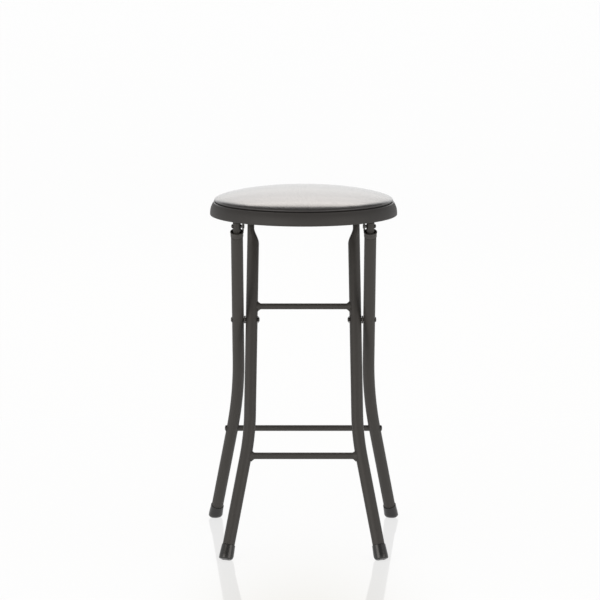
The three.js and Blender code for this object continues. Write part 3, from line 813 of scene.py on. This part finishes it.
def makePivots():
    gap, edge = pivotStack["gap"], pivotStack["edge"]
    beside = tube["radius"] + gap
    innerFace, outerFace = innerLeg["half"] - beside, outerLeg["half"] + beside
    washerFace = innerFace - pivotStack["washerThick"]
    bore = rivets["shank"] + gap
    turnedPairs(
        innerFrame @ acrossX, rivets["around"],
        ("pivotRivet", "pivot_rivet", "dark_hardware", rivetProfile(
            rivets["shank"], washerFace - gap, outerFace, rivets["head"], rivets["headHeight"],
            rivets["tail"], rivets["tailHeight"])),
        ("pivotWasher", "pivot_washer", "dark_hardware", ringProfile(
            bore, pivotStack["washer"], washerFace, innerFace, edge)),
        ("pivotBush", "pivot_spacer", "collar_plastic", ringProfile(
            bore, pivotStack["spacer"], innerLeg["half"] + beside, outerLeg["half"] - beside,
            edge)))


def makeRearHinges():
    gap = pivotStack["gap"]
    outerFace = legPlace(innerLeg, -stance["hingeReach"])[0] + tube["radius"]
    innerFace = outerFace - pressed["thickness"]
    turnedPairs(
        innerFrame @ at(z=stance["hingeReach"]) @ acrossX, rivets["around"],
        ("rearHingeRivet", "rear_hinge_rivet", "dark_hardware", rivetProfile(
            hinge["shank"], hinge["rearEar"] - hinge["earThick"] - gap, outerFace + gap,
            hinge["head"], hinge["headHeight"], hinge["tail"], hinge["tailHeight"])),
        ("rearHingeWasher", "rear_hinge_washer", "collar_plastic", ringProfile(
            hinge["shank"] + gap, hinge["washer"], hinge["rearEar"] + gap, innerFace - gap,
            pivotStack["edge"])))


def cutCross(piece, top, size):
    # a tapered cross recess for a screwdriver, cut into a head whose crown is at that height
    for turn in (0, 90):
        cutter = begin("recess", bpy.ops.mesh.primitive_cube_add, size=1)
        bpy.ops.transform.resize(value=(size * mm, crossRecess["width"] * mm,
                                        2 * crossRecess["depth"] * mm))
        pick(lambda co: co.z < 0)
        bpy.ops.transform.resize(value=crossRecess["taper"])
        enter("OBJECT")
        lay(cutter, at(z=top) @ Matrix.Rotation(math.radians(turn), 4, "Z"))
        applied(piece, "BOOLEAN", object=cutter, operation="DIFFERENCE", solver="EXACT")
        discard(cutter)


makePivots()
makeRearHinges()
print("rivets set")


# Screws: the rear bar's, and six through the rails into the board

barScrew = {"shank": 3, "bite": 12, "head": 5, "headHeight": 3, "dome": 2, "sunk": 1.6,
            "recess": 5.4}
seatScrew = {"shank": 2.1, "head": 4.2, "headHeight": 2.4, "recess": 4.6, "count": 6}


def makeBarScrews():
    across = legPlace(outerLeg, -bars["rearBar"]["rise"])[0]
    crest = across + tube["radius"]
    crown = crest + barScrew["headHeight"]
    dome = arcPoints(0, crown - barScrew["dome"], barScrew["head"], barScrew["dome"], 0, 90)
    start = across - tube["radius"] - barScrew["bite"]
    buried = crest - barScrew["sunk"]  # the head's brim sits down on the round tube
    profile = [(0, start), (barScrew["shank"], start), (barScrew["shank"], buried),
               (barScrew["head"], buried), *dome]
    piece = turned("rearBarScrew", profile, rivets["around"])
    cutCross(piece, crown, barScrew["recess"])
    lay(piece, outerFrame @ at(z=bars["rearBar"]["rise"]) @ acrossX)
    dressPair(piece, "rearBarScrew", "crossbar_screw", "dark_hardware")


def makeSeatScrews():
    low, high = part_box("seat_screw_1")
    top, bottom = high.z / mm, low.z / mm
    brim = bottom + seatScrew["headHeight"]
    dome = arcPoints(0, brim, seatScrew["head"], seatScrew["headHeight"], -90, 0)
    profile = [*dome, (seatScrew["shank"], brim), (seatScrew["shank"], top), (0, top)]
    first = turned("seatScrew", profile, rivets["around"])
    cutCross(first, bottom, seatScrew["recess"])
    for i in range(seatScrew["count"]):
        low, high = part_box(f"seat_screw_{i + 1}")
        centre = (low + high) / 2
        piece = copied(first, f"seatScrew-{i + 1}")
        lay(piece, Matrix.Translation((centre.x, centre.y, 0)))
        dress(piece, f"seat_screw_{i + 1}", "dark_hardware")
    discard(first)


makeBarScrews()
makeSeatScrews()
print("screws driven")


# Sliding rods in the outer legs, with their collars and hinge pins

rod = {"radius": 6.6, "wall": 1.6, "crown": 11, "dome": 4.5, "plug": 22, "foot": 5,
       "bevelOut": 0.4, "bevelUp": 0.5, "around": 36}
collar = {"proud": 0.6, "height": 10.5, "lip": 1.1, "brim": 0.6, "edge": 0.2, "funnel": 4,
          "neck": 9.7, "sleeve": 8, "fit": 0.3, "undercut": 1, "around": 48,
          "lipShares": (2.4, 2, 1.7, 1.6)}  # from the top down, for each unit of the lip


def makeRods():
    radius, out, up = rod["radius"], rod["bevelOut"], rod["bevelUp"]
    bore, bottom = radius - rod["wall"], rod["foot"] - stance["hingeReach"]
    profile = [(0, -rod["plug"]), (bore, -rod["plug"]), (bore, bottom + up), (bore + out, bottom),
               (radius - out, bottom), (radius, bottom + up),
               *arcPoints(0, rod["crown"] - rod["dome"], radius, rod["dome"], 0, 90, steps=10)]
    place = outerFrame @ at(x=outerLeg["half"], z=stance["hingeReach"])
    turnedPairs(place, rod["around"], ("slideRod", "slide_rod", "frame_enamel", profile))
    start = hinge["frontEar"] + collar["fit"] - outerLeg["half"]
    pin = rivetProfile(hinge["shank"], start, radius + collar["fit"], hinge["head"],
                       hinge["headHeight"], tail=0, tailHeight=0)
    turnedPairs(place @ acrossX, rivets["around"],
                ("frontHingePin", "front_hinge_pin", "dark_hardware", pin))


def makeCollars():
    top = stance["hingeReach"] - collar["neck"]
    seat = top - collar["height"]
    outside, bore = tube["radius"] + collar["proud"], rod["radius"] + collar["fit"]
    sleeve = tube["radius"] - tube["wall"] - collar["fit"]
    end = outerLeg["top"] - collar["sleeve"]
    lip, undercut, edge = collar["lip"], collar["undercut"], collar["edge"]
    brim, skirt = outside + collar["brim"], seat + undercut
    under, swell, waist, mouth = (share * lip for share in collar["lipShares"])
    profile = [
        (bore, end), (sleeve, end), (sleeve, seat), (outside - undercut, seat),
        (outside - undercut, skirt), (outside - edge, skirt), (outside, skirt + edge),
        (outside, top - under), (brim - edge, top - swell), (brim, top - waist),
        *arcPoints(brim - lip, top - lip, lip, lip, 0, 90, steps=5),
        (brim - mouth, top), (bore, top - collar["funnel"]), (bore, end),
    ]
    turnedPairs(outerFrame @ at(x=outerLeg["half"]), collar["around"],
                ("rodCollar", "rod_collar", "collar_plastic", profile))


makeRods()
makeCollars()
print("rods and collars in")


# Rails under the seat: strips folded down to an ear at each end

rail = {"thick": 2.5, "width": 30, "bend": 5, "earRadius": 8, "earTip": 0.6, "hingeDrop": 11,
        "edge": 0.45, "sharp": 50, "bendSteps": 5, "earSteps": 7}


def makeRail(name, node, earFace):
    low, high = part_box(node)
    y, top = (low.y + high.y) / 2 / mm, high.z / mm
    middle = top - rail["thick"] / 2  # the strip is drawn at mid-thickness, then given its gauge
    half, face = rail["width"] / 2, earFace - rail["thick"] / 2
    bend = rail["bend"] - rail["thick"] / 2
    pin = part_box("seat_pan")[0].z / mm - rail["hingeDrop"]
    piece = begin(name, bpy.ops.mesh.primitive_plane_add, size=1)
    bpy.ops.transform.resize(value=(2 * (face - bend) * mm, 2 * half * mm, 1))
    shift(y=y, z=middle)
    for side in sides.values():
        pick(lambda co: co.x * side > face - bend - sameGap)
        x, z, wide = face - bend, middle, half
        steps = []
        for i in range(1, rail["bendSteps"] + 1):  # round the corner
            angle = math.radians(90 * i / rail["bendSteps"])
            steps.append((face - bend + bend * math.sin(angle),
                          middle - bend + bend * math.cos(angle), half))
        steps.append((face, top - rail["thick"] - rail["bend"], half))
        for i in range(rail["earSteps"] + 1):  # down to the ear's round end
            angle = math.radians(90 * i / rail["earSteps"])
            steps.append((face, pin - rail["earRadius"] * math.sin(angle),
                          max(rail["earRadius"] * math.cos(angle), rail["earTip"])))
        for nextX, nextZ, nextWide in steps:
            move = ((nextX - x) * side * mm, 0, (nextZ - z) * mm)
            bpy.ops.mesh.extrude_region_move(TRANSFORM_OT_translate={"value": move})
            bpy.ops.transform.resize(value=(1, nextWide / wide, 1), center_override=(0, y * mm, 0))
            x, z, wide = nextX, nextZ, nextWide
    close()
    applied(piece, "SOLIDIFY", thickness=rail["thick"] * mm, offset=0)
    applied(piece, "BEVEL", width=rail["edge"] * mm, segments=2, limit_method="ANGLE",
            angle_limit=math.radians(rail["sharp"]))
    dress(piece, node, "dark_hardware")


def makePinTails():
    inside = hinge["frontEar"] - hinge["earThick"] - pivotStack["gap"]
    tail = [*arcPoints(0, inside, hinge["tail"], hinge["frontTail"], -90, 0, steps=5),
            (hinge["shank"], inside), (hinge["shank"], hinge["frontEar"]), (0, hinge["frontEar"])]
    hingeY = -stance["hingeReach"] * math.sin(tilt)
    hingeZ = stance["pivotHeight"] + stance["hingeReach"] * math.cos(tilt)
    turnedPairs(at(y=hingeY, z=hingeZ) @ acrossX, rivets["around"],
                ("frontPinTail", "front_pin_tail", "dark_hardware", tail))


makeRail("frontRail", "front_rail", hinge["frontEar"])
makeRail("rearRail", "rear_rail", hinge["rearEar"])
makePinTails()
print("rails folded")


# Seat pan: a dish inside a convex skirt, open below and stiffened by gussets

pan = {"radius": 156, "height": 22, "wall": 2.4, "skirtRound": 31, "straight": 3, "rimRound": 1.3,
       "lipTurn": 10, "rim": 2.6, "dish": 7, "draft": 2.5, "edge": 0.8, "wallEdge": 0.3,
       "around": 144,
       "dishCorner": ((-1.5, 0), (-0.4, 0.4), (0.2, 1.5)), "dishEdge": ((-0.3, -0.5), (0.2, 0))}
gusset = {"count": 24, "inner": 134, "thick": 1.8, "low": 3.5, "sunk": 0.6, "margin": 1,
          "toe": 1.2, "slant": 5.6, "edge": 0.35}


def makePan():
    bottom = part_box("seat_pan")[0].z / mm
    centre = pan["radius"] - pan["skirtRound"]
    skirtTop = pan["height"] - pan["rimRound"]
    rise = skirtTop - pan["straight"]
    rim = centre + math.sqrt(pan["skirtRound"] ** 2 - rise ** 2)
    dishRim, floor = rim - pan["rim"], pan["height"] - pan["dish"]
    dishFloor, under = dishRim - pan["draft"], floor - pan["wall"]
    inner = pan["skirtRound"] - pan["wall"]
    outerTurn = math.degrees(math.asin(rise / pan["skirtRound"]))
    innerTurn = math.degrees(math.asin((rise - pan["wall"]) / inner))
    skirt = arcPoints(centre, pan["straight"], pan["skirtRound"], pan["skirtRound"],
                      outerTurn, 0, steps=12)
    inside = arcPoints(centre, pan["straight"], inner, inner, 0, innerTurn, steps=8)
    lip = arcPoints(rim - pan["rimRound"], skirtTop, pan["rimRound"], pan["rimRound"],
                    90, pan["lipTurn"], steps=4)
    edge, wall = pan["edge"], pan["radius"] - pan["wall"]
    hem = [(pan["radius"], edge), (pan["radius"] - edge / 3, edge / 3), (pan["radius"] - edge, 0)]
    corner = [(dishFloor + out, floor + up) for out, up in pan["dishCorner"]]
    brink = [(dishRim + out, pan["height"] + up) for out, up in pan["dishEdge"]]
    profile = [
        (0, floor), *corner, *brink, *lip, *skirt, *hem,
        (wall + pan["wallEdge"], 0), (wall, pan["wallEdge"]), *inside,
        (dishFloor + pan["wall"] / 2, under), (0, under),
    ]
    piece = turned("seatPanShell", profile, pan["around"])
    lay(piece, at(z=bottom))
    dress(piece, "seat_pan", "pan_plastic")
    return bottom + under, bottom + gusset["low"], wall


def makeGussets(under, low, wall):
    # one web from the dish's underside to the skirt, then the rest turned round the seat
    web = begin("web", bpy.ops.mesh.primitive_cube_add, size=1)
    inner, sunk = gusset["inner"], gusset["sunk"]
    reach, past = wall + sunk - inner, inner + gusset["margin"]
    upper = under - gusset["margin"]
    bpy.ops.transform.resize(value=(reach * mm, gusset["thick"] * mm, (under - low + sunk) * mm))
    shift(x=inner + reach / 2, z=(low + under + sunk) / 2)
    pick(lambda co: co.x < past and co.z < upper)
    shift(z=under - low - gusset["toe"])
    pick(lambda co: co.x > past and co.z > upper)
    shift(x=-gusset["slant"])
    bpy.ops.mesh.select_all(action="SELECT")
    bpy.ops.mesh.bevel(offset=gusset["edge"] * mm, segments=2)
    enter("OBJECT")
    turns = [math.radians(360 * (i + 0.5) / gusset["count"]) for i in range(gusset["count"])]
    webs = [lay(copied(web, "panGusset"), Matrix.Rotation(turn, 4, "Z")) for turn in turns]
    discard(web)
    choose(webs[0])
    for other in webs:
        other.select_set(True)
    bpy.ops.object.join()
    webs[0].name = "panGussets"
    dress(webs[0], "seat_pan", "pan_plastic", standsFor=False)


makeGussets(*makePan())
print("pan moulded")


# Cushion: a vinyl cover over a foam pad, drawn down over the pan's rim in a round nose. A pad
# blown up as cloth gives the cover its unevenness.

cushion = {
    "hem": 144.2, "neck": 145.6, "neckDrop": 1, "throat": (0.8, 0.25), "radius": 149,
    "shoulderRise": 3.5, "crownRise": 19.7, "crownPower": 1.36, "noseMeets": 7, "noseTuck": 25,
    "around": 288,
    "slack": 2.4, "voxel": 4, "frames": 20, "quality": 6, "pressure": 4, "cap": 4, "pinned": 578,
    "settle": {"factor": 0.5, "iterations": 15},
    "fill": 0.06, "fillFrom": 140, "fillTo": 110,
    "pucker": 0.16, "puckerSize": 17, "puckerFrom": 141, "puckerFade": 4,
}
foamPad = {"base": 143, "radius": 144, "trim": 2.5, "around": 120}


def domeProfile(radius, spring, rise, first=0, steps=40):
    # a flattened dome, from its edge up to its middle
    turns = [math.radians(first + (90 - first) * i / steps) for i in range(steps + 1)]
    return [(radius * math.cos(turn), spring + rise * math.sin(turn) ** cushion["crownPower"])
            for turn in turns]


def makeCushionShape(name, slack):
    # a hem tucked into the pan, a round nose over its rim, and a flattened dome that runs
    # on from the nose without a corner
    rim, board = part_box("seat_pan")[1].z / mm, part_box("seat_board")[0].z / mm
    rise, power = cushion["crownRise"] - slack, cushion["crownPower"]
    dome = domeProfile(cushion["radius"], rim + cushion["shoulderRise"], rise, cushion["noseMeets"])
    meets = math.radians(cushion["noseMeets"])
    lean = math.atan(rise * power * math.sin(meets) ** (power - 2) * math.cos(meets)
                     / cushion["radius"])
    reach, height = dome[0]
    nose = (cushion["radius"] - reach) / (1 - math.sin(lean))
    centre = (cushion["radius"] - nose, height - nose * math.cos(lean))
    throatOut, throatUp = cushion["throat"]
    profile = [(0, board), (cushion["hem"], board), (cushion["neck"], rim - cushion["neckDrop"]),
               (cushion["neck"] + throatOut, rim + throatUp),
               *arcPoints(*centre, nose, nose, -cushion["noseTuck"], 90 - math.degrees(lean),
                          steps=12),
               *dome[1:]]
    return turned(name, profile, cushion["around"])


def makeFoamPad():
    # the foam under the cover, cut a little small so that the cover can be pulled over it
    low, high = (corner.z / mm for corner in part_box("cushion_foam"))
    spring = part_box("seat_pan")[1].z / mm + cushion["shoulderRise"] - foamPad["trim"]
    profile = [(0, low), (foamPad["base"], low),
               *domeProfile(foamPad["radius"], spring, high - spring - foamPad["trim"])]
    piece = turned("foamPad", profile, foamPad["around"])
    dress(piece, "cushion_foam", "seat_foam")


def blowUp(piece):
    # cloth with air pressure: the tucked hem is pinned, and no point moves further than the cap
    applied(piece, "REMESH", mode="VOXEL", voxel_size=cushion["voxel"] * mm)
    before = [vertex.co.copy() for vertex in piece.data.vertices]
    hem = [i for i, co in enumerate(before) if co.z / mm < cushion["pinned"]]
    piece.vertex_groups.new(name="hem").add(hem, 1, "REPLACE")
    choose(piece)
    cloth = piece.modifiers.new("Cloth", "CLOTH")
    cloth.settings.quality = cushion["quality"]
    cloth.settings.use_pressure = True
    cloth.settings.uniform_pressure_force = cushion["pressure"]
    cloth.settings.effector_weights.gravity = 0
    cloth.settings.vertex_group_mass = "hem"
    cloth.point_cache.frame_start, cloth.point_cache.frame_end = 1, cushion["frames"]
    for step in range(1, cushion["frames"] + 1):
        bpy.context.scene.frame_set(step)
    bpy.ops.object.modifier_apply(modifier=cloth.name)
    bpy.context.scene.frame_set(1)
    cap = cushion["cap"] * mm
    for vertex, old in zip(piece.data.vertices, before):
        move = vertex.co - old
        if move.length > cap:
            vertex.co = old + move.normalized() * cap
    applied(piece, "SMOOTH", **cushion["settle"])
    applied(piece, "SUBSURF", levels=1, render_levels=1)


def takeFill(cover, blown):
    # the cover takes its unevenness from the blown pad, fading out towards the nose
    group = cover.vertex_groups.new(name="fill")
    span = cushion["fillFrom"] - cushion["fillTo"]
    for vertex in cover.data.vertices:
        reach = math.hypot(vertex.co.x, vertex.co.y) / mm
        share = min(max((cushion["fillFrom"] - reach) / span, 0), 1)
        if vertex.co.z / mm > cushion["pinned"] and share:
            group.add([vertex.index], cushion["fill"] * share, "REPLACE")
    applied(cover, "SHRINKWRAP", target=blown, vertex_group="fill")
    discard(blown)


def puckerNose(cover):
    # pulled tight over the edge, the vinyl is never quite even
    for vertex in cover.data.vertices:
        reach = math.hypot(vertex.co.x, vertex.co.y) / mm
        if reach > cushion["puckerFrom"] and vertex.co.z / mm > cushion["pinned"]:
            spot = Vector((vertex.co.x, vertex.co.y, 0)) * perMetre(cushion["puckerSize"])
            drift = noise.noise(spot)
            fade = min((reach - cushion["puckerFrom"]) / cushion["puckerFade"], 1)
            vertex.co.z += cushion["pucker"] * fade * drift * mm


def makeCushion():
    piece = makeCushionShape("seatCushion", 0)
    blown = makeCushionShape("blownPad", cushion["slack"])
    blowUp(blown)
    takeFill(piece, blown)
    puckerNose(piece)
    dress(piece, "cushion_cover", "seat_vinyl")


makeFoamPad()
makeCushion()
print("cushion filled")
